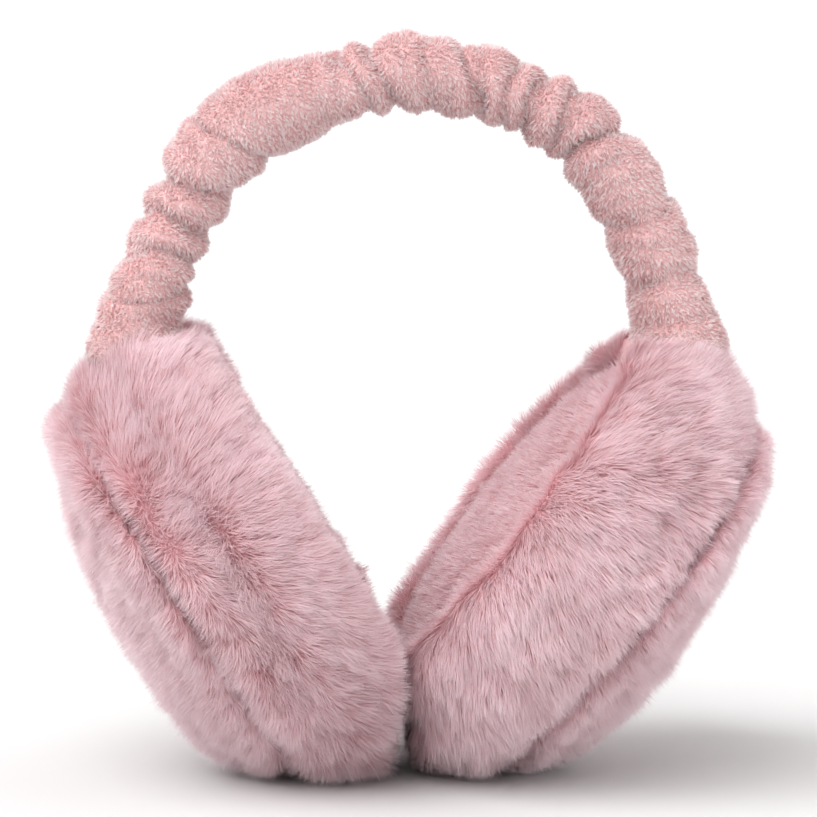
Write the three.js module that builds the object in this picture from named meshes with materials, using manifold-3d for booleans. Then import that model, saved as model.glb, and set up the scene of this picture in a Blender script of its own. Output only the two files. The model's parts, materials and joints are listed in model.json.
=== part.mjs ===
// Earmuffs: two round, stuffed fur pads on a gathered plush headband.
// Millimetres, +Z up. The pads stand on z = 0, the front looks towards -Y,
// and the origin is under the middle of the whole.

import * as THREE from 'three';
import { mergeVertices } from 'three/addons/utils/BufferGeometryUtils.js';
import Module from 'manifold-3d';

const wasm = await Module();
wasm.setup();

// Driving dimensions

const GAP = 0.35; // clear space between neighbouring pieces

// The sleeve's middle line is an arc seen from the front. Angles are in degrees,
// from the right end over the crown to the left end.
const SLEEVE = {
  centre: { x: 0.5, z: 111 },
  radius: 64.6,
  thick: 19.6, // from the head outwards
  deep: 31, // from front to back
  from: -5,
  to: 185,
  flare: 1.2, // how much wider each end gets inside the fur
  flareOver: 16, // degrees that the widening takes
  splay: 3, // how far the hoop's ends spring outwards
  splayFrom: 22, // degrees above the ends' level where that starts
  sides: 12,
};

// Each pad lies in a frame of its own: its axis points to the ear, and its tilt
// is how far its bottom swings in under the head.
const PAD = { radius: 66.5, half: 30.8, settle: 0.05, sag: 0.1 };
const PADS = [
  { name: 'left', side: -1, tilt: 32, x: -48.4, z: 51.9, seed: 11 },
  { name: 'right', side: 1, tilt: 38, x: 46.6, z: 50.3, seed: 23 },
];

// The two pads press together under the head along a leaning plane.
const MEETING = { atFloor: -1.2, perHeight: -0.12 };

// Fur locks: how far apart the rows are, how wide a lock is, how deep its root lies.
// Where the fur is pressed on the floor, the locks keep only a share of their relief.
const LOCK = { row: 10, wide: 10.2, root: 4.6, belly: 0.9, valley: 3, stray: 1.3, pressed: 0.2 };

// The lining lies in a round recess of the ear side.
const LINING = { radius: 46, floor: 19, rim: 23.4, crown: 26.8, corner: 2.2, sides: 40 };

// Half sections of the fur's outer form, from the middle of the outer side to the
// seam, and from the seam to the rim round the ear. out is a share of PAD.radius,
// along is a share of PAD.half, towards the ear.
const OUTER_SECTION = [
  { out: 0, along: -1 },
  { out: 0.24, along: -0.985 },
  { out: 0.45, along: -0.92 },
  { out: 0.63, along: -0.78 },
  { out: 0.76, along: -0.58 },
  { out: 0.84, along: -0.4 },
  { out: 0.82, along: -0.3 },
];
const INNER_SECTION = [
  { out: 0.82, along: -0.26 },
  { out: 0.9, along: -0.16 },
  { out: 0.965, along: 0.02 },
  { out: 1, along: 0.27 },
  { out: 0.965, along: 0.58 },
  { out: 0.89, along: 0.84 },
  { out: 0.79, along: 0.98 },
];
const SEAM = { out: 0.79, along: -0.28 };

// Creases of the sleeve: where each crosses the outside and the head side, in degrees,
// how deep it is as a share of the sleeve's thickness, and how plump the roll after it is.
const CREASES = [
  { outside: 3.5, headSide: 0.5, deep: 0.1, plump: 1.0 },
  { outside: 10.5, headSide: 12.5, deep: 0.12, plump: 1.0 },
  { outside: 20, headSide: 20.5, deep: 0.06, plump: 1.0 },
  { outside: 28.5, headSide: 27.5, deep: 0.14, plump: 1.0 },
  { outside: 35.5, headSide: 33.5, deep: 0.07, plump: 1.02 },
  { outside: 42.5, headSide: 39.5, deep: 0.19, plump: 1.05 },
  { outside: 48.5, headSide: 45.5, deep: 0.1, plump: 1.05 },
  { outside: 54.5, headSide: 51.5, deep: 0.2, plump: 1.08 },
  { outside: 62, headSide: 60, deep: 0.22, plump: 1.0 },
  { outside: 68.5, headSide: 66.5, deep: 0.1, plump: 1.02 },
  { outside: 76, headSide: 73.5, deep: 0.22, plump: 1.03 },
  { outside: 81.5, headSide: 80, deep: 0.14, plump: 1.0 },
  { outside: 87, headSide: 86.5, deep: 0.1, plump: 1.04 },
  { outside: 93, headSide: 93.5, deep: 0.16, plump: 1.03 },
  { outside: 98.5, headSide: 99, deep: 0.14, plump: 1.0 },
  { outside: 106, headSide: 105.5, deep: 0.18, plump: 0.98 },
  { outside: 113, headSide: 114, deep: 0.06, plump: 1.07 },
  { outside: 121, headSide: 120.5, deep: 0.06, plump: 1.12 },
  { outside: 129, headSide: 126.5, deep: 0.14, plump: 1.2 },
  { outside: 140, headSide: 135, deep: 0.18, plump: 1.12 },
  { outside: 148, headSide: 143.5, deep: 0.18, plump: 1.03 },
  { outside: 156.5, headSide: 153.5, deep: 0.2, plump: 1.02 },
  { outside: 163, headSide: 161.5, deep: 0.18, plump: 1.03 },
  { outside: 169, headSide: 168.5, deep: 0.16, plump: 1.14 },
  { outside: 177, headSide: 175, deep: 0.12, plump: 1.0 },
];

const COLOUR = {
  sleeve: 0xdfabaa,
  outerFur: 0xe6bcc3,
  innerFur: 0xdfb2b6,
  lining: 0xc99aa2,
};

// Small helpers

function randomFrom(seed) {
  let state = seed;
  return function next() {
    state = (state * 1664525 + 1013904223) % 4294967296;
    return state / 4294967296;
  };
}

function mix(a, b, share) {
  return a + (b - a) * share;
}

// A closed body through rings of points. Each ring runs anticlockwise about the way
// the rings advance, and each of its points knows its turn, from 0 to 1. Rings may
// have different counts. The first and last hold one point.
function bodyThrough(rings) {
  const points = rings.flat();
  const faces = [];
  let start = 0;
  for (let k = 0; k + 1 < rings.length; k += 1) {
    const here = rings[k];
    const next = rings[k + 1];
    const nextStart = start + here.length;
    const turnOf = (ring, i) => ring[i % ring.length].turn + Math.floor(i / ring.length);
    let i = 0;
    let j = 0;
    const iSteps = here.length > 1 ? here.length : 0;
    const jSteps = next.length > 1 ? next.length : 0;
    while (i < iSteps || j < jSteps) {
      const a = start + (i % here.length);
      const b = nextStart + (j % next.length);
      const here2 = i < iSteps ? turnOf(here, i + 1) : Infinity;
      const next2 = j < jSteps ? turnOf(next, j + 1) : Infinity;
      if (here2 <= next2) {
        i += 1;
        faces.push(a, start + (i % here.length), b);
      } else {
        j += 1;
        faces.push(a, nextStart + (j % next.length), b);
      }
    }
    start = nextStart;
  }
  const geometry = new THREE.BufferGeometry().setFromPoints(points.map((p) => p.at));
  geometry.setIndex(faces);
  return geometry;
}

function ringOf(count, place, phase = 0) {
  return Array.from({ length: count }, (_, i) => {
    const turn = (i + phase) / count;
    return { turn, at: place(turn, i) };
  });
}

function solidOf(geometry) {
  const bare = geometry.clone();
  bare.deleteAttribute('normal');
  bare.deleteAttribute('uv');
  const merged = mergeVertices(bare, 1e-4);
  return new wasm.Manifold(
    new wasm.Mesh({
      numProp: 3,
      vertProperties: new Float32Array(merged.attributes.position.array),
      triVerts: new Uint32Array(merged.index.array),
    }),
  );
}

function geometryOf(solid) {
  const mesh = solid.getMesh();
  const geometry = new THREE.BufferGeometry();
  const places = new THREE.BufferAttribute(new Float32Array(mesh.vertProperties), 3);
  geometry.setAttribute('position', places);
  geometry.setIndex(new THREE.BufferAttribute(new Uint32Array(mesh.triVerts), 1));
  return geometry;
}

// The main body of what a cut leaves: clipped lock tips fall off
function mainBody(solid) {
  return solid.decompose().reduce((a, b) => (a.volume() > b.volume() ? a : b));
}

function meshOf(name, geometry, color, roughness = 1) {
  const material = new THREE.MeshStandardMaterial({ color, roughness, metalness: 0 });
  const mesh = new THREE.Mesh(geometry, material);
  mesh.name = name;
  return mesh;
}

// Sleeve

// A roll swells between two creases: 0 at a crease, 1 at the roll's crest.
const ROLL_STEPS = [
  { share: 0, swell: 0 },
  { share: 0.16, swell: 0.66 },
  { share: 0.5, swell: 1 },
  { share: 0.84, swell: 0.66 },
];

function sleeveEnds() {
  const ends = { deep: 0.04, plump: 1.08 };
  return [
    { outside: SLEEVE.from, headSide: SLEEVE.from, ...ends },
    ...CREASES,
    { outside: SLEEVE.to, headSide: SLEEVE.to, ...ends },
  ];
}

// How far the sleeve's middle line is from the arc's centre, at an angle in degrees
function lineRadius(angle) {
  const level = Math.min(angle, 180 - angle);
  const share = Math.max(0, 1 - level / SLEEVE.splayFrom);
  return SLEEVE.radius + SLEEVE.splay * share * share;
}

// grow makes the sleeve larger all round, to cut its sockets in the fur.
function sleeveGeometry(grow) {
  const creases = sleeveEnds();
  const random = randomFrom(5);
  const rings = [];
  const ringAt = (outside, headSide, size, uneven) =>
    ringOf(SLEEVE.sides, (turn) => {
      const around = turn * 2 * Math.PI;
      const outward = Math.cos(around);
      const back = Math.sin(around);
      const angle = mix(headSide, outside, (outward + 1) / 2);
      const fromEnd = Math.min(angle - SLEEVE.from, SLEEVE.to - angle);
      const near = Math.max(0, 1 - Math.max(0, fromEnd) / SLEEVE.flareOver);
      const wide = mix(1, SLEEVE.flare, near * near);
      const local = size * wide * (1 + uneven * Math.cos(around * 2 + angle));
      const reach = lineRadius(angle) + outward * ((SLEEVE.thick / 2) * local + grow);
      const bearing = THREE.MathUtils.degToRad(angle);
      return new THREE.Vector3(
        SLEEVE.centre.x + reach * Math.cos(bearing),
        back * ((SLEEVE.deep / 2) * local + grow),
        SLEEVE.centre.z + reach * Math.sin(bearing),
      );
    });
  const centreAt = (angle) => {
    const bearing = THREE.MathUtils.degToRad(angle);
    const x = SLEEVE.centre.x + lineRadius(angle) * Math.cos(bearing);
    const z = SLEEVE.centre.z + lineRadius(angle) * Math.sin(bearing);
    return { turn: 0, at: new THREE.Vector3(x, 0, z) };
  };
  const overhang = THREE.MathUtils.radToDeg(grow / SLEEVE.radius);
  rings.push([centreAt(SLEEVE.from - overhang)]);
  rings.push(ringAt(SLEEVE.from - overhang, SLEEVE.from - overhang, 0.94, 0));
  for (let k = 0; k + 1 < creases.length; k += 1) {
    const here = creases[k];
    const next = creases[k + 1];
    const uneven = (random() - 0.5) * 0.05;
    for (const step of ROLL_STEPS) {
      if (k === 0 && step.share === 0) continue;
      const crease = step.share < 0.5 ? here : next;
      const size = here.plump - 2 * crease.deep * (1 - step.swell);
      const outside = mix(here.outside, next.outside, step.share);
      const headSide = mix(here.headSide, next.headSide, step.share);
      rings.push(ringAt(outside, headSide, size, uneven));
    }
  }
  rings.push(ringAt(SLEEVE.to + overhang, SLEEVE.to + overhang, 0.94, 0));
  rings.push([centreAt(SLEEVE.to + overhang)]);
  return bodyThrough(rings);
}

// Fur

function sectionCurve(rows) {
  const points = rows.map(
    (row) => new THREE.Vector2(row.out * PAD.radius, row.along * PAD.half),
  );
  return new THREE.SplineCurve(points);
}

// How far round towards the floor a turn is, from -1 at the headband to 1
function downwards(turn) {
  return -Math.cos(turn * 2 * Math.PI);
}

// A point in the pad's own frame: +z to the ear, +x to the headband. The stuffing
// settles, so the pad is wider towards the floor and its outer side sags there.
function padPoint(out, along, turn) {
  const around = turn * 2 * Math.PI;
  const down = downwards(turn);
  const full = out * (1 + PAD.settle * Math.max(0, down) ** 3);
  const pastSeam = Math.max(0, SEAM.along * PAD.half - along);
  const sag = (PAD.sag * down * pastSeam * out) / PAD.radius;
  return new THREE.Vector3(full * Math.cos(around), full * Math.sin(around), along - sag);
}

// Rings of fur along a section: each row of locks starts deep under the tips of the
// row before it, swells, and ends in points that stand free. ownSide keeps a place
// on its panel's side of the seam.
function lockRings(section, ownSide, random) {
  const curve = sectionCurve(section);
  const length = curve.getLength();
  const rows = Math.round(length / LOCK.row);
  const place = (share, lift, turn) => {
    const along = THREE.MathUtils.clamp(share, 0, 1);
    const spot = curve.getPointAt(along);
    const way = curve.getTangentAt(along);
    const over = (share - along) * length;
    const pressed = THREE.MathUtils.smoothstep(downwards(turn), 0.88, 0.97);
    const rise = lift * mix(1, LOCK.pressed, pressed);
    const out = Math.max(spot.x + way.x * over + way.y * rise, 0.5);
    return padPoint(out, ownSide(spot.y + way.y * over - way.x * rise), turn);
  };
  const rings = [];
  for (let row = 0; row < rows; row += 1) {
    const from = row / rows;
    const step = 1 / rows;
    const girth = 2 * Math.PI * curve.getPointAt(from + step * 0.7).x;
    const count = Math.max(7, Math.round(girth / LOCK.wide));
    const phase = row % 2 ? 0.5 : 0;
    const sway = Array.from({ length: count }, () => (random() - 0.5) * 0.5);
    const reach = Array.from({ length: count }, () => (random() - 0.5) * 0.45);
    const stray = Array.from({ length: count }, () => (random() - 0.5) * LOCK.stray);
    if (row > 0 || section === INNER_SECTION) {
      const root = (turn) => place(from - step * 0.06, -LOCK.root, turn);
      rings.push(ringOf(count, root, phase));
    }
    const belly = (turn, i) => {
      const crest = i % 2 === 1;
      const lift = crest ? -LOCK.belly : -LOCK.valley;
      return place(from + step * 0.5, lift, turn);
    };
    rings.push(ringOf(count * 2, belly, phase * 2));
    const tip = (turn, i) => {
      const lock = Math.floor(i / 2);
      const crest = i % 2 === 1;
      const share = crest ? 1.2 + reach[lock] : 0.72;
      const lift = crest ? stray[lock] : -LOCK.valley;
      const aside = crest ? sway[lock] / count : 0;
      return place(from + step * share, lift, turn + aside);
    };
    rings.push(ringOf(count * 2, tip, phase * 2));
  }
  return rings;
}

function pole(along) {
  return [{ turn: 0, at: new THREE.Vector3(0, 0, along) }];
}

function discRing(out, along, count = LINING.sides) {
  return ringOf(count, (turn) => padPoint(out, along, turn));
}

function plainRing(out, along, count = LINING.sides) {
  return ringOf(count, (turn) => {
    const around = turn * 2 * Math.PI;
    return new THREE.Vector3(out * Math.cos(around), out * Math.sin(around), along);
  });
}

// The domed half, from the middle of the outer side to the seam
function outerFurGeometry(random) {
  const seamOut = SEAM.out * PAD.radius;
  const seamAlong = SEAM.along * PAD.half - GAP / 2;
  return bodyThrough([
    pole(-PAD.half),
    ...lockRings(OUTER_SECTION, (along) => Math.min(along, seamAlong), random),
    discRing(seamOut, seamAlong),
    pole(seamAlong),
  ]);
}

// The side of the cushion, from the seam to the rim, with the lining's recess
function innerFurGeometry(random) {
  const seamOut = SEAM.out * PAD.radius;
  const seamAlong = SEAM.along * PAD.half + GAP / 2;
  return bodyThrough([
    pole(seamAlong),
    discRing(seamOut, seamAlong),
    ...lockRings(INNER_SECTION, (along) => Math.max(along, seamAlong), random),
    plainRing(LINING.radius + GAP + 1.2, LINING.rim + 1.5),
    plainRing(LINING.radius + GAP, LINING.floor),
    pole(LINING.floor),
  ]);
}

// A crowned round of plush: flat back, round edge, raised middle
function liningGeometry() {
  const edge = LINING.radius;
  const back = LINING.floor + GAP;
  const rise = LINING.crown - LINING.rim;
  const crowned = (share) => LINING.rim + rise * (1 - share ** 4);
  return bodyThrough([
    pole(back),
    plainRing(edge - LINING.corner, back),
    plainRing(edge, back + LINING.corner),
    plainRing(edge - LINING.corner * 0.6, LINING.rim),
    ...[0.85, 0.65].map((share) => plainRing(edge * share, crowned(share))),
    plainRing(edge * 0.4, LINING.crown),
    pole(LINING.crown),
  ]);
}

// What the fur makes room for, in the object's frame: the floor, the sleeve and
// the other pad

const ROOM = { wide: 400, deep: 100, low: -50, high: 150 };

function floorBox() {
  const block = new THREE.BoxGeometry(ROOM.wide, ROOM.wide, ROOM.deep);
  return block.translate(0, 0, -ROOM.deep / 2);
}

function otherSide(side) {
  const wide = ROOM.wide / 2;
  const middle = (z) => MEETING.atFloor + MEETING.perHeight * z;
  const { low, high } = ROOM;
  const near = (z) => middle(z) + (side * GAP) / 2;
  const far = (z) => middle(z) - side * wide;
  const outline = new THREE.Shape([
    new THREE.Vector2(near(low), low),
    new THREE.Vector2(near(high), high),
    new THREE.Vector2(far(high), high),
    new THREE.Vector2(far(low), low),
  ]);
  const block = new THREE.ExtrudeGeometry(outline, { depth: wide, bevelEnabled: false });
  return block.rotateX(Math.PI / 2).translate(0, wide / 2, 0);
}

// Assembly

function padGroup(pad) {
  const tilt = THREE.MathUtils.degToRad(pad.tilt);
  const ear = new THREE.Vector3(-pad.side * Math.cos(tilt), 0, Math.sin(tilt));
  const up = new THREE.Vector3(pad.side * Math.sin(tilt), 0, Math.cos(tilt));
  const across = new THREE.Vector3().crossVectors(ear, up);
  const group = new THREE.Group();
  group.setRotationFromMatrix(new THREE.Matrix4().makeBasis(up, across, ear));
  group.position.set(pad.x, 0, pad.z);
  group.updateMatrix();
  return group;
}

function addPad(parent, pad, sleeveRoom) {
  const group = padGroup(pad);
  const inwards = group.matrix.clone().invert();
  const cutters = [floorBox(), otherSide(pad.side), sleeveRoom.clone()];
  const room = cutters.map((geometry) => solidOf(geometry.applyMatrix4(inwards)));
  const shaped = (geometry) => {
    const cut = room.reduce((solid, cutter) => solid.subtract(cutter), solidOf(geometry));
    return geometryOf(mainBody(cut));
  };
  const random = randomFrom(pad.seed);
  const outer = shaped(outerFurGeometry(random));
  const inner = shaped(innerFurGeometry(random));
  const lining = shaped(liningGeometry());
  group.add(
    meshOf(`${pad.name}_outer_fur`, outer, COLOUR.outerFur),
    meshOf(`${pad.name}_inner_fur`, inner, COLOUR.innerFur),
    meshOf(`${pad.name}_ear_lining`, lining, COLOUR.lining),
  );
  parent.add(group);
}

const earmuffs = new THREE.Group();
earmuffs.add(meshOf('band_sleeve', sleeveGeometry(0), COLOUR.sleeve));
for (const pad of PADS) {
  addPad(earmuffs, pad, sleeveGeometry(GAP));
}
const middle = new THREE.Box3().setFromObject(earmuffs, true).getCenter(new THREE.Vector3());
earmuffs.position.set(-middle.x, -middle.y, 0);

export default earmuffs;
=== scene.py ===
# %% [markdown]
# # Fur earmuffs
#
# The real thing is simple to name and hard to draw: two stuffed round pads in long
# faux fur, and a headband whose plush tube is longer than the hoop inside it, so it
# lies in tight gathers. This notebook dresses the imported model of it. Each pad gets a
# swollen cushion, then a coat of separate strands, and the band gets its folds and a
# short pile. Everything is in metres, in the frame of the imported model.

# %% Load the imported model
import json
import math

import bmesh
import bpy
import numpy as np
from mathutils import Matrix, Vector

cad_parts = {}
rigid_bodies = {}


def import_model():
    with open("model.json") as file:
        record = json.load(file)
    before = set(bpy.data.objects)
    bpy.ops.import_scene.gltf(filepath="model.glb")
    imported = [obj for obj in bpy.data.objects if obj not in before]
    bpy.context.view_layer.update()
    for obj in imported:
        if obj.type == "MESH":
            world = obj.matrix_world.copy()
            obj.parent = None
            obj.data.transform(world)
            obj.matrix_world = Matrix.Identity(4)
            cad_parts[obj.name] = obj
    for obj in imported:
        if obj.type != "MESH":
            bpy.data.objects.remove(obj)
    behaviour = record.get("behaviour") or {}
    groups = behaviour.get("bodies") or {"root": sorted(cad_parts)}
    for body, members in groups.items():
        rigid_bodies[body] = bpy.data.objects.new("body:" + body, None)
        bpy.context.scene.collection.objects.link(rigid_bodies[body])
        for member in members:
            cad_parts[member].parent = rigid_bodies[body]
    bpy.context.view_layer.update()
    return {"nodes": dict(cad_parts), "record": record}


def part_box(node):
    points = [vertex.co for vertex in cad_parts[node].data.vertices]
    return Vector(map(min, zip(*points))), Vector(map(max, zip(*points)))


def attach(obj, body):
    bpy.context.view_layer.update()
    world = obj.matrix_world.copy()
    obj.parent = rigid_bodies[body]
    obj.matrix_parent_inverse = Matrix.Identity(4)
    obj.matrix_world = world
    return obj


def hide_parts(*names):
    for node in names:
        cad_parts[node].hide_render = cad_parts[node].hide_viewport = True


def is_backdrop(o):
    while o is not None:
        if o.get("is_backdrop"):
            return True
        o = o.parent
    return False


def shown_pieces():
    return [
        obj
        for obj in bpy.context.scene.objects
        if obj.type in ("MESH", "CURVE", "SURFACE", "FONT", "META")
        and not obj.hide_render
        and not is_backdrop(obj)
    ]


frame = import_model()
MM = 0.001
print("nodes:", sorted(frame["nodes"]))

# %% [markdown]
# ## The places that the model gives
#
# Nothing is placed by eye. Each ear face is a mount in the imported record, and it gives
# a pad's axis: a point in the middle of the pad, and the way it looks towards the ear.
# The fur's lie is worked out from that axis.

# %% Read the pads' axes
SIDES = ("left", "right")
MOUNTS = {mount["name"]: mount for mount in frame["record"]["mounts"]}
EAR_DEPTH = 26.8 * MM  # from the middle of a pad to its ear face


def pad_axis(side):
    mount = MOUNTS[f"{side}_ear_face"]
    return Vector(mount["axis"]).normalized()


def pad_middle(side):
    return Vector(MOUNTS[f"{side}_ear_face"]["pos_m"]) - pad_axis(side) * EAR_DEPTH


for side in SIDES:
    print(side, "pad at", [round(v, 4) for v in pad_middle(side)])

# %% [markdown]
# ## Small tools
#
# Three moves come back again and again: copy a node's mesh, let Blender finish a
# modifier and keep the result as a plain mesh, and colour a surface by nodes. They are
# written once here.

# %% Tools for meshes


def keep(mesh, name):
    piece = bpy.data.objects.new(name, mesh)
    bpy.context.scene.collection.objects.link(piece)
    return piece


def plain_mesh(piece):
    """The piece's mesh with its modifiers worked in."""
    graph = bpy.context.evaluated_depsgraph_get()
    return bpy.data.meshes.new_from_object(piece.evaluated_get(graph))


def work_in(piece):
    """Replaces the piece's mesh by what its modifiers make of it."""
    mesh = plain_mesh(piece)
    piece.modifiers.clear()
    piece.data = mesh
    return piece


def copy_of(node, name):
    """A copy of a node's solid, with its loose triangles merged."""
    source = frame["nodes"][node]
    mesh = source.data.copy()
    mesh.transform(source.matrix_world)
    soup = bmesh.new()
    soup.from_mesh(mesh)
    bmesh.ops.remove_doubles(soup, verts=soup.verts, dist=0.01 * MM)
    bmesh.ops.recalc_face_normals(soup, faces=soup.faces)
    soup.to_mesh(mesh)
    soup.free()
    mesh.materials.clear()
    return keep(mesh, name)


def places(mesh):
    flat = np.empty(len(mesh.vertices) * 3, dtype=np.float32)
    mesh.vertices.foreach_get("co", flat)
    return flat.reshape(-1, 3)


def set_places(mesh, points):
    mesh.vertices.foreach_set("co", points.astype(np.float32).ravel())
    mesh.update()


def outward(mesh):
    flat = np.empty(len(mesh.vertices) * 3, dtype=np.float32)
    mesh.vertex_normals.foreach_get("vector", flat)
    return flat.reshape(-1, 3)


def remesh(piece, voxel):
    """An even skin of squares over the piece's shape."""
    change = piece.modifiers.new("remesh", "REMESH")
    change.mode = "VOXEL"
    change.voxel_size = voxel
    return work_in(piece)


def smooth(piece, rounds, factor=0.5):
    change = piece.modifiers.new("smooth", "SMOOTH")
    change.iterations = rounds
    change.factor = factor
    return work_in(piece)


def subdivide(piece, levels=1):
    change = piece.modifiers.new("subdivide", "SUBSURF")
    change.levels = levels
    change.render_levels = levels
    return work_in(piece)


def shade_smooth(piece):
    piece.data.polygons.foreach_set("use_smooth", [True] * len(piece.data.polygons))
    return piece


def triangles(piece):
    return sum(len(face.vertices) - 2 for face in piece.data.polygons)


# %% Tools for materials


def new_material(name, roughness, sheen):
    material = bpy.data.materials.new(name)
    material.use_nodes = True
    shader = material.node_tree.nodes["Principled BSDF"]
    shader.inputs["Roughness"].default_value = roughness
    shader.inputs["Sheen Weight"].default_value = sheen
    shader.inputs["Sheen Roughness"].default_value = 0.5
    shader.inputs["Sheen Tint"].default_value = (1.0, 0.9, 0.92, 1.0)
    shader.inputs["Specular IOR Level"].default_value = 0.0
    return material, material.node_tree, shader


def colour(red, green, blue):
    """A screen colour, from 0 to 255, as the linear colour that Blender works in."""

    def linear(value):
        share = value / 255
        if share <= 0.04045:
            return share / 12.92
        return ((share + 0.055) / 1.055) ** 2.4

    return (linear(red), linear(green), linear(blue), 1.0)


def ramp(tree, source, low, high, start=0.0, end=1.0):
    node = tree.nodes.new("ShaderNodeValToRGB")
    node.color_ramp.elements[0].color = low
    node.color_ramp.elements[1].color = high
    node.color_ramp.elements[0].position = start
    node.color_ramp.elements[1].position = end
    tree.links.new(source, node.inputs["Fac"])
    return node.outputs["Color"]


def attribute(tree, name):
    node = tree.nodes.new("ShaderNodeAttribute")
    node.attribute_name = name
    return node.outputs["Fac"]


def mixed(tree, share, low, high, blend="MIX"):
    node = tree.nodes.new("ShaderNodeMix")
    node.data_type = "RGBA"
    node.blend_type = blend
    for value, socket in ((share, 0), (low, 6), (high, 7)):
        if isinstance(value, bpy.types.NodeSocket):
            tree.links.new(value, node.inputs[socket])
        else:
            node.inputs[socket].default_value = value
    return node.outputs[2]


def noise(tree, scale, detail=3.0):
    """Cloudy values in the piece's own space. scale is in clouds per metre."""
    place = tree.nodes.new("ShaderNodeTexCoord")
    node = tree.nodes.new("ShaderNodeTexNoise")
    node.inputs["Scale"].default_value = scale
    node.inputs["Detail"].default_value = detail
    tree.links.new(place.outputs["Object"], node.inputs["Vector"])
    return node.outputs["Fac"]


# %% [markdown]
# ## Colours of the fur
#
# Faux fur is dyed in one colour, but it never looks like one. The roots lie in the
# shade of the pile and look darker and warmer, and the tips catch the light and look
# pale. Both are painted here: the root colour is painted shade and the tip colour is
# painted light. So each strand carries two numbers: how far along it a point is, and a
# tone of its own. The material reads both, and slow clouds shift the whole coat a little.
# Light also passes through thin strands. A part of the shader is Translucent for that,
# and it keeps the valleys of the coat soft and warm, where a plain shader turns them grey.

# %% Fur and skin materials
# The root colour is painted shade and the tip colour is painted light; the pink between is the
# fur's own.
ROOT_PAINTED_SHADE = colour(240, 198, 202)
FUR_PINK = colour(251, 221, 226)
FUR_TIP_PAINTED_LIGHT = colour(255, 243, 247)
SKIN_ROSE = colour(240, 190, 195)
LIGHT_THROUGH = 0.3  # the share of the light that passes through a strand


def strand_material(name, root, middle, tip, sheen):
    material, tree, shader = new_material(name, roughness=0.8, sheen=sheen)
    along = attribute(tree, "along")
    tone = attribute(tree, "tone")
    # Along a strand: painted shade at the root, the own colour in the middle, painted light at the
    # tip
    lower = ramp(tree, along, root, middle, 0.0, 0.5)
    nearer = ramp(tree, along, (0, 0, 0, 1), (1, 1, 1, 1), 0.3, 0.9)
    strand = mixed(tree, nearer, lower, tip)
    clouds = ramp(tree, noise(tree, 45.0), (0.93, 0.89, 0.89, 1), (1, 1, 1, 1), 0.35, 0.65)
    toned = ramp(tree, tone, (0.94, 0.89, 0.895, 1), (1, 1, 1, 1))
    shaded = mixed(tree, 1.0, strand, toned, "MULTIPLY")
    dyed = mixed(tree, 1.0, shaded, clouds, "MULTIPLY")
    tree.links.new(dyed, shader.inputs["Base Color"])
    glow = tree.nodes.new("ShaderNodeBsdfTranslucent")
    tree.links.new(dyed, glow.inputs["Color"])
    both = tree.nodes.new("ShaderNodeMixShader")
    both.inputs["Fac"].default_value = LIGHT_THROUGH
    tree.links.new(shader.outputs["BSDF"], both.inputs[1])
    tree.links.new(glow.outputs["BSDF"], both.inputs[2])
    output = tree.nodes["Material Output"]
    tree.links.new(both.outputs["Shader"], output.inputs["Surface"])
    return material


def skin_material(name, base, fine):
    """The cloth that the pile grows from, seen only deep in its partings."""
    material, tree, shader = new_material(name, roughness=0.95, sheen=0.1)
    grain = noise(tree, fine, 4.0)
    dark = tuple(value * 0.85 for value in base[:3]) + (1.0,)
    tree.links.new(ramp(tree, grain, dark, base, 0.3, 0.7), shader.inputs["Base Color"])
    bump = tree.nodes.new("ShaderNodeBump")
    bump.inputs["Strength"].default_value = 0.6
    bump.inputs["Distance"].default_value = 0.6 * MM
    tree.links.new(grain, bump.inputs["Height"])
    tree.links.new(bump.outputs["Normal"], shader.inputs["Normal"])
    return material


FUR = strand_material("long faux fur", ROOT_PAINTED_SHADE, FUR_PINK, FUR_TIP_PAINTED_LIGHT, sheen=0.06)
FUR_SKIN = skin_material("fur backing", SKIN_ROSE, 900.0)
print("fur materials:", FUR.name, "and", FUR_SKIN.name)

# %% [markdown]
# ## A coat of strands
#
# A particle system can't be exported, and a bump map has no outline. So the coat is
# grown by Geometry Nodes: points are scattered on the skin, one thin pointed blade is
# copied to each, and the copies become real faces. Three things make it read as fur.
# The strands lean the way the coat is brushed, they gather in tufts, and the lean
# wanders slowly, so the coat parts here and there.
#
# The skin carries three values at each point, which the tree reads: "furry" is how
# thick the coat grows, "pile" how long it is, and "brushed" the way it is brushed. The
# same tree grows the long fur and, with other numbers, the short plush. A strand is one
# triangle, so that there can be very many of them.

# %% The strand tree


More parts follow.
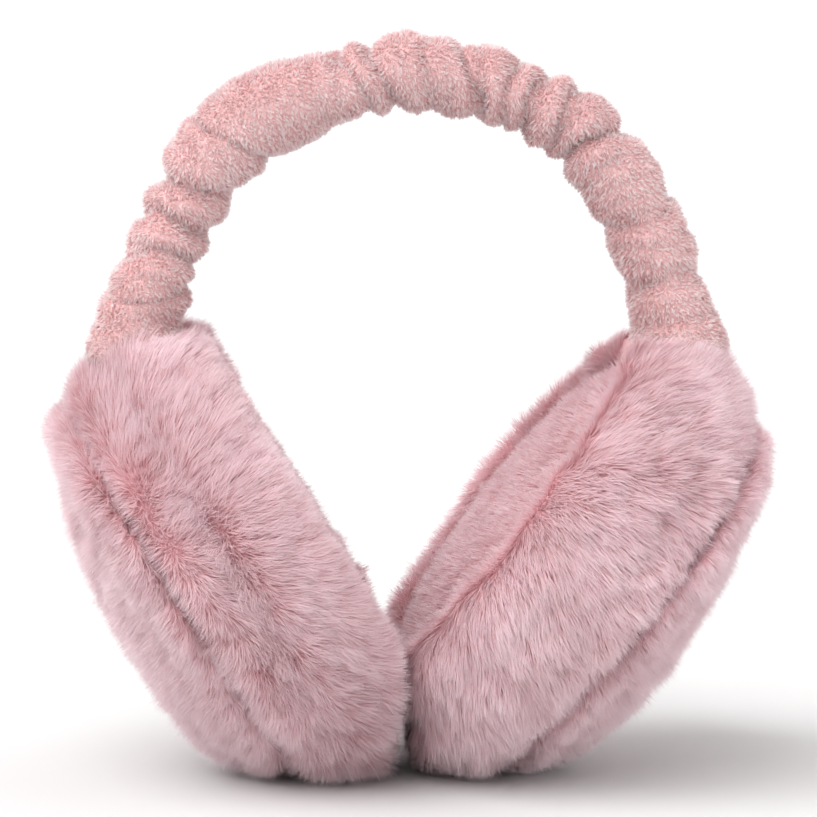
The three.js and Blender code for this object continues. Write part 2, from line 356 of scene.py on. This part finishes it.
class Tree:
    """A node tree with short calls for the few kinds of node that the coat needs."""

    def __init__(self, name):
        self.tree = bpy.data.node_groups.new(name, "GeometryNodeTree")
        self.ids = {}
        self.tree.interface.new_socket(
            "Geometry", in_out="INPUT", socket_type="NodeSocketGeometry"
        )
        self.tree.interface.new_socket(
            "Geometry", in_out="OUTPUT", socket_type="NodeSocketGeometry"
        )
        self.start = self.tree.nodes.new("NodeGroupInput")
        self.end = self.tree.nodes.new("NodeGroupOutput")

    def ask(self, name, kind="Float"):
        socket = self.tree.interface.new_socket(
            name, in_out="INPUT", socket_type=f"NodeSocket{kind}"
        )
        self.ids[name] = socket.identifier
        return self.start.outputs[name]

    def put(self, kind, values=(), **settings):
        node = self.tree.nodes.new(kind)
        for setting, value in settings.items():
            setattr(node, setting, value)
        for key, value in dict(values).items():
            if isinstance(value, bpy.types.NodeSocket):
                self.tree.links.new(value, node.inputs[key])
            else:
                node.inputs[key].default_value = value
        return node

    def vector(self, work, *terms):
        node = self.put("ShaderNodeVectorMath", dict(enumerate(terms)), operation=work)
        return node.outputs["Value" if work in ("DOT_PRODUCT", "LENGTH") else "Vector"]

    def scaled(self, vector, factor):
        values = {"Vector": vector, "Scale": factor}
        return self.put("ShaderNodeVectorMath", values, operation="SCALE").outputs["Vector"]

    def number(self, work, *terms):
        values = dict(enumerate(terms))
        return self.put("ShaderNodeMath", values, operation=work).outputs["Value"]

    def random(self, low, high, seed, kind="FLOAT"):
        first = {"FLOAT": 2, "FLOAT_VECTOR": 0}[kind]
        values = {first: low, first + 1: high, "Seed": seed}
        node = self.put("FunctionNodeRandomValue", values, data_type=kind)
        return node.outputs[0 if kind == "FLOAT_VECTOR" else 1]


def blade(tree):
    """A flat pointed blade one metre long along X, which is a single triangle, with the
    share of its length kept as an attribute."""
    sizes = {"Size X": 1.0, "Size Y": 1.0, "Vertices X": 2, "Vertices Y": 2}
    grid = tree.put("GeometryNodeMeshGrid", sizes)
    place = tree.put("GeometryNodeInputPosition").outputs["Position"]
    parts = tree.put("ShaderNodeSeparateXYZ", {0: place})
    share = tree.number("ADD", parts.outputs["X"], 0.5)
    wide = tree.number("MULTIPLY", parts.outputs["Y"], tree.number("SUBTRACT", 1.0, share))
    shape = tree.put("ShaderNodeCombineXYZ", {0: share, 1: wide})
    values = {"Geometry": grid.outputs["Mesh"], "Name": "along", "Value": share}
    kept = tree.put("GeometryNodeStoreNamedAttribute", values, data_type="FLOAT")
    moved = {"Geometry": kept.outputs["Geometry"], "Position": shape.outputs["Vector"]}
    pointed = tree.put("GeometryNodeSetPosition", moved)
    merged = {"Geometry": pointed.outputs["Geometry"], "Distance": 0.001}
    return tree.put("GeometryNodeMergeByDistance", merged).outputs["Geometry"]


def strand_tree(name):
    tree = Tree(name)
    density = tree.ask("Density")
    length = tree.ask("Length")
    width = tree.ask("Width")
    lift = tree.ask("Lift")
    frizz = tree.ask("Frizz")
    wander = tree.ask("Wander")
    wander_scale = tree.ask("Wander scale")
    tuft = tree.ask("Tuft")
    tuft_pull = tree.ask("Tuft pull")
    twist = tree.ask("Twist")
    tuft_shade = tree.ask("Tuft shade")
    seed = tree.ask("Seed", "Int")
    material = tree.ask("Material", "Material")

    def kept(name, kind):
        node = tree.put("GeometryNodeInputNamedAttribute", {"Name": name}, data_type=kind)
        return node.outputs["Attribute"]

    thick = tree.number("MULTIPLY", density, kept("furry", "FLOAT"))
    skin = {"Mesh": tree.start.outputs["Geometry"], "Density": thick, "Seed": seed}
    points = tree.put("GeometryNodeDistributePointsOnFaces", skin)
    normal = points.outputs["Normal"]
    place = tree.put("GeometryNodeInputPosition").outputs["Position"]

    # The way a strand leans: brushed along the skin, lifted off it, and wandering
    pile = kept("pile", "FLOAT")
    cloud = tree.put(
        "ShaderNodeTexNoise", {"Vector": place, "Scale": wander_scale, "Detail": 1.0}
    ).outputs["Color"]
    drift = tree.scaled(tree.vector("SUBTRACT", cloud, (0.5, 0.5, 0.5)), wander)
    lie = tree.vector("ADD", kept("brushed", "FLOAT_VECTOR"), drift)
    inwards = tree.scaled(normal, tree.vector("DOT_PRODUCT", lie, normal))
    flat_lie = tree.vector("SUBTRACT", lie, inwards)
    rough = tree.random((-1.0,) * 3, (1.0,) * 3, seed, "FLOAT_VECTOR")
    rise = tree.scaled(normal, tree.number("MULTIPLY", lift, pile))
    rising = tree.vector("ADD", flat_lie, rise)
    rising = tree.vector("ADD", rising, tree.scaled(rough, frizz))

    # Strands of one tuft lean to its middle
    cells = tree.put("ShaderNodeTexVoronoi", {"Vector": place, "Scale": tuft})
    to_tuft = tree.vector("SUBTRACT", cells.outputs["Position"], place)
    level = tree.scaled(normal, tree.vector("DOT_PRODUCT", to_tuft, normal))
    to_tuft = tree.vector("SUBTRACT", to_tuft, level)
    tuft_tone = tree.vector("LENGTH", cells.outputs["Color"])
    long = tree.number("MULTIPLY", length, tree.random(0.75, 1.1, 3))
    long = tree.number("MULTIPLY", long, pile)
    long = tree.number("MULTIPLY", long, tree.number("MULTIPLY_ADD", tuft_tone, 0.45, 0.57))
    reach = tree.scaled(tree.vector("NORMALIZE", rising), long)
    chord = tree.vector("ADD", reach, tree.scaled(to_tuft, tuft_pull))

    facing = tree.random((-1.0,) * 3, (1.0,) * 3, 7, "FLOAT_VECTOR")
    upward = tree.vector("ADD", normal, tree.scaled(facing, twist))
    turned = tree.put(
        "FunctionNodeAlignRotationToVector", {"Vector": chord}, axis="X"
    ).outputs["Rotation"]
    rolled = tree.put(
        "FunctionNodeAlignRotationToVector",
        {"Rotation": turned, "Vector": upward},
        axis="Z",
        pivot_axis="X",
    ).outputs["Rotation"]
    broad = tree.number("MULTIPLY", width, tree.random(0.7, 1.2, 4))
    size = tree.put("ShaderNodeCombineXYZ", {0: long, 1: broad, 2: long})
    copies = tree.put(
        "GeometryNodeInstanceOnPoints",
        {
            "Points": points.outputs["Points"],
            "Instance": blade(tree),
            "Rotation": rolled,
            "Scale": size.outputs["Vector"],
        },
    )

    # Each strand has a tone of its own, and shares a part of it with its tuft. The tuft's
    # share is the value that also makes the tuft longer, so short tufts come out darker:
    # painted shade on top of a random tone.
    own = tree.number("MULTIPLY", tree.random(0.0, 1.0, 5), 0.5)
    shared = tree.number("MULTIPLY", tuft_tone, tuft_shade)
    toned = tree.put(
        "GeometryNodeStoreNamedAttribute",
        {
            "Geometry": copies.outputs["Instances"],
            "Name": "tone",
            "Value": tree.number("ADD", own, shared),
        },
        data_type="FLOAT",
        domain="INSTANCE",
    )
    real = tree.put("GeometryNodeRealizeInstances", {0: toned.outputs["Geometry"]})
    coat = {"Geometry": real.outputs["Geometry"], "Material": material}
    painted = tree.put("GeometryNodeSetMaterial", coat)
    tree.tree.links.new(painted.outputs["Geometry"], tree.end.inputs["Geometry"])
    return tree


STRANDS = strand_tree("strands")
print("inputs of the strand tree:", ", ".join(STRANDS.ids))

# %% Values on a skin


def numbers_at(mesh, name):
    """An attribute's values, one for each point."""
    data = mesh.attributes[name].data
    flat = np.empty(len(data), dtype=np.float32)
    data.foreach_get("value", flat)
    return flat


def set_numbers(mesh, name, values):
    old = mesh.attributes.get(name)
    if old:
        mesh.attributes.remove(old)
    wide = values.ndim == 2
    mark = mesh.attributes.new(name, "FLOAT_VECTOR" if wide else "FLOAT", "POINT")
    key = "vector" if wide else "value"
    mark.data.foreach_set(key, values.astype(np.float32).ravel())


def unit(vectors):
    return vectors / np.maximum(np.linalg.norm(vectors, axis=-1, keepdims=True), 1e-9)


def ease(values, start, end):
    """0 below start, 1 above end and a soft step between, as one value or many."""
    share = np.clip((values - start) / (end - start), 0.0, 1.0)
    return share * share * (3 - 2 * share)


def plan_coat(piece, furry, pile, brushed):
    set_numbers(piece.data, "furry", furry)
    set_numbers(piece.data, "pile", pile)
    set_numbers(piece.data, "brushed", brushed)


# %% Grow a coat on a piece
FLOOR_GAP = 0.3 * MM


def area_of(piece):
    return sum(face.area for face in piece.data.polygons)


def finish_strands(mesh):
    """Keeps the strands above the floor, and drops what only the skin needed."""
    points = places(mesh)
    points[:, 2] = np.maximum(points[:, 2], FLOOR_GAP)
    set_places(mesh, points)
    for name in ("furry", "pile", "brushed"):
        mesh.attributes.remove(mesh.attributes[name])
    mesh.polygons.foreach_set("use_smooth", [True] * len(mesh.polygons))


def grow(piece, name, tree, strands, **numbers):
    """A plain mesh of strands on the piece. strands is about how many there are."""
    share = float(numbers_at(piece.data, "furry").mean())
    coat = keep(piece.data.copy(), name)
    change = coat.modifiers.new("strands", "NODES")
    change.node_group = tree.tree
    values = {"Density": strands / (area_of(piece) * share), **numbers}
    for key, value in values.items():
        change[tree.ids[key]] = value
    work_in(coat)
    finish_strands(coat.data)
    print(name, triangles(coat), "triangles")
    return coat


# %% [markdown]
# ## Cushions
#
# Under the fur is a stuffed cushion in two panels, sewn together round the rim. The
# imported solids already have its size and its seam, but in coarse locks. An even skin
# over them, smoothed, gives the backing cloth, and Blender's Cloth with air pressure
# inside swells it as stuffing does. The points at the seam and on the floor are pinned,
# so those places stay where they are.

# %% Swell a panel as stuffing does
PRESSURE = 4.0
SIM_FRAMES = 20


def swell(piece, pinned, cap):
    """Cloth with pressure inside. pinned marks the points that hold still, and no point
    moves further than cap."""
    start = places(piece.data).copy()
    group = piece.vertex_groups.new(name="pinned")
    group.add([int(i) for i in np.flatnonzero(pinned)], 1.0, "REPLACE")
    cloth = piece.modifiers.new("cloth", "CLOTH")
    cloth.settings.use_pressure = True
    cloth.settings.uniform_pressure_force = PRESSURE
    cloth.settings.effector_weights.gravity = 0.0
    cloth.settings.vertex_group_mass = "pinned"
    cloth.settings.quality = 4
    scene = bpy.context.scene
    for step in range(1, SIM_FRAMES + 1):
        scene.frame_set(step)
    mesh = plain_mesh(piece)
    move = places(mesh) - start
    length = np.linalg.norm(move, axis=1, keepdims=True)
    move *= np.minimum(1.0, cap / np.maximum(length, 1e-9))
    piece.modifiers.clear()
    piece.vertex_groups.clear()
    set_places(piece.data, start + move)
    scene.frame_set(1)
    print(piece.name, "swelled by up to", round(float(length.max()) / MM, 1), "mm")
    return piece


# %% Find a point's place on its pad
SEAM_AT = -8.6 * MM  # the seam's height on the pad's axis, from its middle
FUR_DEPTH = 4.6 * MM  # how far the tips of the coat stand over the backing
SLEEVE_BOX = [np.array(corner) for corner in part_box("band_sleeve")]


def circle_through(points):
    """The centre and radius of the circle, seen from the front, that the points follow."""
    x, z = points[:, 0], points[:, 2]
    terms = np.column_stack([2 * x, 2 * z, np.ones(len(points))])
    a, b, c = np.linalg.lstsq(terms, x * x + z * z, rcond=None)[0]
    depth = (SLEEVE_BOX[0][1] + SLEEVE_BOX[1][1]) / 2
    return np.array([a, depth, b]), math.sqrt(c + a * a + b * b)


SLEEVE_MIDDLE, SLEEVE_RADIUS = circle_through(places(frame["nodes"]["band_sleeve"].data))
SLEEVE_HALF = (
    SLEEVE_BOX[1][2] - SLEEVE_MIDDLE[2] - SLEEVE_RADIUS,
    (SLEEVE_BOX[1][1] - SLEEVE_BOX[0][1]) / 2,
)
print("hoop's radius", round(SLEEVE_RADIUS / MM, 1), "mm")


def on_axis(points, side):
    """Height along the pad's axis, distance from it, and the way straight out of it."""
    arm = points - np.array(pad_middle(side), dtype=np.float32)
    axis = np.array(pad_axis(side), dtype=np.float32)
    height = arm @ axis
    out = arm - height[:, None] * axis
    return height, np.linalg.norm(out, axis=1), unit(out)


def from_sleeve(points):
    """1 on the sleeve's surface, less inside it and more outside."""
    arm = points - SLEEVE_MIDDLE
    out = np.hypot(arm[:, 0], arm[:, 2]) - SLEEVE_RADIUS
    return np.hypot(out / SLEEVE_HALF[0], arm[:, 1] / SLEEVE_HALF[1])


def by_sleeve(points):
    """1 at the sleeve and 0 some way off, with a soft step between."""
    return 1 - ease(from_sleeve(points), 1.2, 2.0)


# %% Make the four fur cushions
SEAM_REACH = 11 * MM  # how far from the seam its valley starts
EMPTY_AT_TOP = {"left": 1.4, "right": 2.1}  # how much less the seam is filled up there


def draw_in(piece, side):
    """Makes room for the coat: the skin goes in by its depth, but the two panels still
    meet at the seam, and the round recess for the lining stays as wide as it is."""
    mesh = piece.data
    points = places(mesh)
    normals = outward(mesh)
    axis = np.array(pad_axis(side), dtype=np.float32)
    height, apart, out = on_axis(points, side)
    free = ease(np.abs(height - SEAM_AT), 0.0, SEAM_REACH)[:, None]
    axial = (normals @ axis)[:, None] * axis
    way = normals - axial * (1 - free)
    inner_wall = ease(-(normals * out).sum(axis=1), 0.1, 0.5) * (apart < 56 * MM)
    near_seam = 1 - ease(np.abs(height - SEAM_AT), 0.0, SEAM_REACH)
    high_up = ease(points[:, 2], 25 * MM, 60 * MM)
    top = ease(points[:, 2], 70 * MM, 95 * MM)
    outer = height < SEAM_AT
    groove = 1 + (0.25 + 0.45 * top) * outer * (1 - near_seam)
    groove -= near_seam * (0.45 + 2.4 * high_up - EMPTY_AT_TOP[side] * top)
    groove *= 1 - 0.75 * by_sleeve(points)
    at_rim = ease(height, 17 * MM, 26 * MM)
    deep = FUR_DEPTH * (1 - inner_wall) * groove * (1 - 0.9 * at_rim)
    set_places(mesh, points - way * deep[:, None])


def brush(side, points, height, out):
    """The way the coat is brushed. On the left pad it parts at the seam, and on the
    right pad it all goes one way, over the rim and down the side. Low down it hangs,
    on the inner panel it fans out higher up, and at the sleeve it stands up."""
    axis = np.array(pad_axis(side), dtype=np.float32)
    onward = np.full(len(points), -1.0)
    if side == "left":
        onward = 2 * ease(height, SEAM_AT - 12 * MM, SEAM_AT + 12 * MM) - 1
    inner = ease(height, SEAM_AT - 12 * MM, SEAM_AT + 2 * MM)
    hang = 0.6 - 1.2 * inner * ease(points[:, 2], 60 * MM, 95 * MM)
    hang -= 1.0 * by_sleeve(points)
    down = np.array([0.0, 0.0, -1.0], dtype=np.float32)
    along_pad = axis - out * (0.7 * inner)[:, None]
    return along_pad * onward[:, None] + down * hang[:, None]


def cushion(side, part):
    name = f"{side}_{part}"
    piece = copy_of(f"{name}_fur", f"{name}_backing")
    remesh(piece, 4.0 * MM)
    smooth(piece, 6)
    height, apart, out = on_axis(places(piece.data), side)
    still = (places(piece.data)[:, 2] < 1.5 * MM) | (np.abs(height - SEAM_AT) < 2.5 * MM)
    swell(piece, still, 1.6 * MM)
    draw_in(piece, side)
    subdivide(piece)
    shade_smooth(piece)

    points = places(piece.data)
    height, apart, out = on_axis(points, side)
    from_seam = np.abs(height - SEAM_AT)
    hidden = (from_seam < 1.5 * MM) & (apart < 46 * MM)
    if part == "inner":
        hidden |= (apart < 47.5 * MM) & (height > SEAM_AT) & (height < 21 * MM)
    hidden |= from_sleeve(points) < 1.08
    pile = 0.7 + 0.3 * ease(from_seam, 1 * MM, 9 * MM)
    pile *= 1 - 0.3 * ease(height, 19 * MM, 27 * MM)
    way = brush(side, points, height, out)
    plan_coat(piece, np.where(hidden, 0.0, 1.0), pile, way)
    piece.data.materials.append(FUR_SKIN)
    return piece


CUSHIONS = {(s, p): cushion(s, p) for s in SIDES for p in ("outer", "inner")}
for key, piece in CUSHIONS.items():
    print(key, triangles(piece), "triangles")

# %% [markdown]
# ## The long fur
#
# The strands are about a quarter of a millimetre wide at the root, many times a real
# fibre, because a coat of real ones would need millions. Fine points and many tones
# hide that. They are shorter at the seam, where the sewing holds them down, so the
# coat parts there.

# %% Grow the fur
FUR_STRANDS = 180000


def long_coat(side, part):
    return grow(
        CUSHIONS[side, part],
        f"{side}_{part}_pile",
        STRANDS,
        FUR_STRANDS,
        Length=6.8 * MM,
        Width=0.25 * MM,
        Lift=0.95,
        Frizz=0.42,
        Wander=1.8,
        **{"Wander scale": 95.0, "Tuft": 290.0, "Tuft pull": 0.38, "Tuft shade": 0.3},
        Twist=0.25,
        Seed=11 if part == "outer" else 23,
        Material=FUR,
    )


COATS = {key: long_coat(*key) for key in CUSHIONS}

# %% [markdown]
# ## The gathered sleeve
#
# The sleeve is plush cloth, slid over the hoop and bunched up, so it folds into rolls
# that press on each other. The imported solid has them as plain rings. Finer ones could
# be sculpted by hand, but a table is easier to read and to change. So the skin gets
# even squares, is smoothed until the rings are gone, and is swelled by Cloth. Then each
# row of the table draws one crease, which runs askew from the outside of the hoop to
# the inside. Small slanting wrinkles follow by a formula.

# %% Make the sleeve
PUFFED = 0.45 * MM  # what the smoothing takes off, less the depth of the pile
STRETCHED = (114, 127)  # degrees along the hoop where the sleeve lies smooth
SHIFTS = {  # degrees along the hoop: how far the sleeve lies outside its round line, in mm
    0: 0.3,
    30: 0.5,
    45: 1.1,
    56: 1.1,
    66: 0.0,
    90: -0.1,
    106: -1.1,
    116: -0.8,
    128: 0.8,
    139: 0.9,
    148: -0.9,
    164: -0.6,
    172: 0.0,
}


def around_hoop(points):
    """Each point's angle along the hoop, and its angle round the sleeve's middle line."""
    arm = points - SLEEVE_MIDDLE
    along = np.arctan2(arm[:, 2], arm[:, 0])
    out = np.hypot(arm[:, 0], arm[:, 2]) - SLEEVE_RADIUS
    return along, np.arctan2(arm[:, 1], out)


def between(values, start, end, soft):
    return ease(values, start - soft, start) * (1 - ease(values, end, end + soft))


FOLDS = (  # creases between rolls: degrees outside and inside the hoop, and depth in mm
    (174, 170, 2.4),
    (165, 162, 2.8),
    (157, 153, 3.0),
    (149.5, 142, 3.2),
    (136, 130, 3.0),
    (112.5, 110, 1.2),
    (104, 101, 3.0),
    (98.5, 93.5, 3.6),
    (86, 85, 1.8),
    (79, 72, 3.6),
    (67.5, 66, 2.8),
    (61, 61, 3.4),
    (54, 53, 3.0),
    (43, 48, 4.6),
    (26, 25.5, 1.8),
    (10, 11, 1.6),
)
CREASE_REACH = 5.5 * MM  # how far from a crease its roll still curves in


def creases(points):
    """How deep each point sinks towards the nearest crease, in metres. It bends in ever
    more steeply, so that each roll is round and its crease is sharp."""
    along, around = around_hoop(points)
    share = (np.cos(around) + 1) / 2
    sunk = np.zeros(len(points))
    for outside, inside, depth in FOLDS:
        wave = 1.5 * np.sin(2 * around + outside)
        line = np.radians(inside + (outside - inside) * share + wave)
        off = np.abs(along - line) * SLEEVE_RADIUS / CREASE_REACH
        sunk = np.maximum(sunk, depth * MM * np.clip(1 - off, 0, 1) ** 2)
    return sunk


def wrinkles(points):
    """Small slanting folds: how far each point moves out, in metres."""
    along, around = around_hoop(points)
    slant = along * SLEEVE_RADIUS / MM + 3.5 * np.sin(around + 3 * along)
    broad = np.sin(slant * 0.62 + 2.2 * np.sin(around * 2 + along * 5))
    fine = np.sin(slant * 1.25 + 1.8 * np.sin(around * 2 - along * 9))
    where = ease(np.sin(along * 5.0 + 2 * around) + np.sin(along * 11.0), -0.6, 1.2)
    tight = 1 - 0.8 * between(np.degrees(along), *STRETCHED, 6)
    return (0.35 * broad * where + 0.25 * fine * (1 - where)) * tight * MM


def shifted(points):
    """The hoop isn't quite round: the sleeve swings out and in along it."""
    degrees = np.degrees(around_hoop(points)[0])
    out = np.interp(degrees, list(SHIFTS), list(SHIFTS.values())) * MM
    way = points - SLEEVE_MIDDLE
    way[:, 1] = 0.0
    return points + unit(way) * out[:, None]


def make_sleeve():
    piece = copy_of("band_sleeve", "sleeve")
    remesh(piece, 1.1 * MM)
    smooth(piece, 60)
    swell(piece, np.zeros(len(piece.data.vertices), bool), 0.6 * MM)
    points = shifted(places(piece.data))
    moved = PUFFED + wrinkles(points) - creases(points)
    set_places(piece.data, points + outward(piece.data) * moved[:, None])
    shade_smooth(piece)
    return piece


SLEEVE = make_sleeve()
print("sleeve", triangles(SLEEVE), "triangles")

# %% [markdown]
# ## Short plush
#
# The sleeve and the ear linings are short plush. Its pile is a millimetre or two long
# and stands in small tufts that lean this way and that, so the cloth glitters in pale
# and dark pink. The same strand tree makes it, with short strands that cluster hard.
# The ear side has longer ones in wider tufts.

# %% Plush materials
# As on the fur, the root colour is painted shade and the tip colour is painted light.
PLUSH_ROOT_PAINTED_SHADE = colour(232, 184, 184)
PLUSH_PINK = colour(250, 235, 236)
PLUSH_TIP_PAINTED_LIGHT = colour(255, 252, 252)
PLUSH = strand_material("short plush pile", PLUSH_ROOT_PAINTED_SHADE, PLUSH_PINK, PLUSH_TIP_PAINTED_LIGHT, sheen=0.06)
PLUSH_SKIN = skin_material("plush backing", colour(242, 200, 200), 700.0)
SLEEVE.data.materials.append(PLUSH_SKIN)

# %% Grow the sleeve's pile


def plain_coat(piece, bare, brushed):
    """A coat of one length all over, but for the points that are bare."""
    count = len(piece.data.vertices)
    way = np.tile(np.array(brushed, dtype=np.float32), (count, 1))
    plan_coat(piece, np.where(bare, 0.0, 1.0), np.ones(count), way)


plain_coat(SLEEVE, np.zeros(len(SLEEVE.data.vertices), bool), (0.25, 0.0, -0.45))
SLEEVE_PILE = grow(
    SLEEVE,
    "sleeve_pile",
    STRANDS,
    130000,
    Length=1.5 * MM,
    Width=0.32 * MM,
    Lift=0.6,
    Frizz=0.2,
    Wander=2.0,
    **{"Wander scale": 420.0, "Tuft": 760.0, "Tuft pull": 0.95, "Tuft shade": 0.5},
    Twist=0.3,
    Seed=5,
    Material=PLUSH,
)

# %% Make the ear linings


def make_lining(side):
    piece = copy_of(f"{side}_ear_lining", f"{side}_lining")
    remesh(piece, 1.8 * MM)
    smooth(piece, 4)
    shade_smooth(piece)
    height = on_axis(places(piece.data), side)[0]
    plain_coat(piece, height < 21.5 * MM, (0.0, 0.0, -0.6))
    piece.data.materials.append(PLUSH_SKIN)
    pile = grow(
        piece,
        f"{side}_lining_pile",
        STRANDS,
        25000,
        Length=3.8 * MM,
        Width=0.42 * MM,
        Lift=1.0,
        Frizz=0.35,
        Wander=1.4,
        **{"Wander scale": 70.0, "Tuft": 300.0, "Tuft pull": 0.4, "Tuft shade": 0.3},
        Twist=0.4,
        Seed=31,
        Material=FUR,
    )
    return piece, pile


LININGS = {side: make_lining(side) for side in SIDES}

# %% [markdown]
# ## Tie the pieces to the model
#
# Every piece rides on the root body, and the node that a piece stands in for is hidden.

# %% Rides and hidden nodes
ROOT = "root"


def dress(piece, node=None):
    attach(piece, ROOT)
    if node:
        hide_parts(node)


for (side, part), piece in CUSHIONS.items():
    dress(piece, node=f"{side}_{part}_fur")
    dress(COATS[side, part])
for side, (piece, pile) in LININGS.items():
    dress(piece, node=f"{side}_ear_lining")
    dress(pile)
dress(SLEEVE, node="band_sleeve")
dress(SLEEVE_PILE)

# %% [markdown]
# ## Floor, light and camera
#
# The photo is a plain catalogue shot: a white ground, a broad soft light from above on
# the left, and light bounced back from the ground. The camera stands a metre off with a
# long lens, a little to the left of the middle and a little above it.

# %% Floor
FLAT_TO = 2.2
WALL_RISE = 2.2
SIDES_OF_BOWL = 96


def make_floor():
    """A round studio ground that curves up far away, so that no edge shows."""
    bends = [math.radians(angle) for angle in range(0, 91, 6)]
    profile = [(0.0, 0.0)]
    profile += [
        (FLAT_TO + WALL_RISE * math.sin(b), WALL_RISE * (1 - math.cos(b))) for b in bends
    ]
    soup = bmesh.new()
    rings = []
    for out, high in profile[1:]:
        turns = [math.tau * i / SIDES_OF_BOWL for i in range(SIDES_OF_BOWL)]
        rings.append([soup.verts.new((out * math.cos(t), out * math.sin(t), high)) for t in turns])
    soup.faces.new(rings[0])
    for low, high in zip(rings, rings[1:]):
        for i in range(SIDES_OF_BOWL):
            j = (i + 1) % SIDES_OF_BOWL
            soup.faces.new((low[i], high[i], high[j], low[j]))
    mesh = bpy.data.meshes.new("floor")
    soup.to_mesh(mesh)
    soup.free()
    floor = shade_smooth(keep(mesh, "floor"))
    material, tree, shader = new_material("pale floor", roughness=0.9, sheen=0.0)
    shader.inputs["Base Color"].default_value = (0.8, 0.8, 0.8, 1.0)
    mesh.materials.append(material)
    floor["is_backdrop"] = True
    return floor


make_floor()

# %% Light
SKY = 0.68
SUN_POWER = 4.5


def make_sun():
    data = bpy.data.lights.new("key", "SUN")
    data.energy = SUN_POWER
    data.angle = math.radians(100)
    sun = bpy.data.objects.new("key", data)
    way = Vector((1.4, 0.85, -1.0))
    sun.rotation_euler = way.to_track_quat("-Z", "Y").to_euler()
    bpy.context.scene.collection.objects.link(sun)


make_sun()
world = bpy.data.worlds.new("studio")
world.use_nodes = True
world.node_tree.nodes["Background"].inputs["Color"].default_value = (1.0, 0.99, 0.98, 1.0)
world.node_tree.nodes["Background"].inputs["Strength"].default_value = SKY
bpy.context.scene.world = world
bpy.context.scene.view_settings.view_transform = "Standard"

# %% Camera
PHOTO_SIDE = 817
PIXELS_PER_METRE = 3990  # at the distance of the headband
CAMERA = {"azimuth": -5.0, "elevation": 5.5, "distance": 1.1}
AIM = Vector((0.0004, 0.0, 0.0913))


def make_camera():
    data = bpy.data.cameras.new("camera")
    data.sensor_width = 36.0
    data.lens = 36.0 * PIXELS_PER_METRE * CAMERA["distance"] / PHOTO_SIDE
    camera = bpy.data.objects.new("camera", data)
    turn = math.radians(CAMERA["azimuth"])
    rise = math.radians(CAMERA["elevation"])
    back = Vector(
        (math.sin(turn) * math.cos(rise), -math.cos(turn) * math.cos(rise), math.sin(rise))
    )
    camera.location = AIM + back * CAMERA["distance"]
    camera.rotation_euler = (-back).to_track_quat("-Z", "Y").to_euler()
    bpy.context.scene.collection.objects.link(camera)
    bpy.context.scene.camera = camera
    return camera


camera = make_camera()
print("lens", round(camera.data.lens, 1), "mm")

# %% Count the triangles
bpy.context.view_layer.update()


total = sum(triangles(piece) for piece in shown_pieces())
print("all pieces together:", total, "triangles")
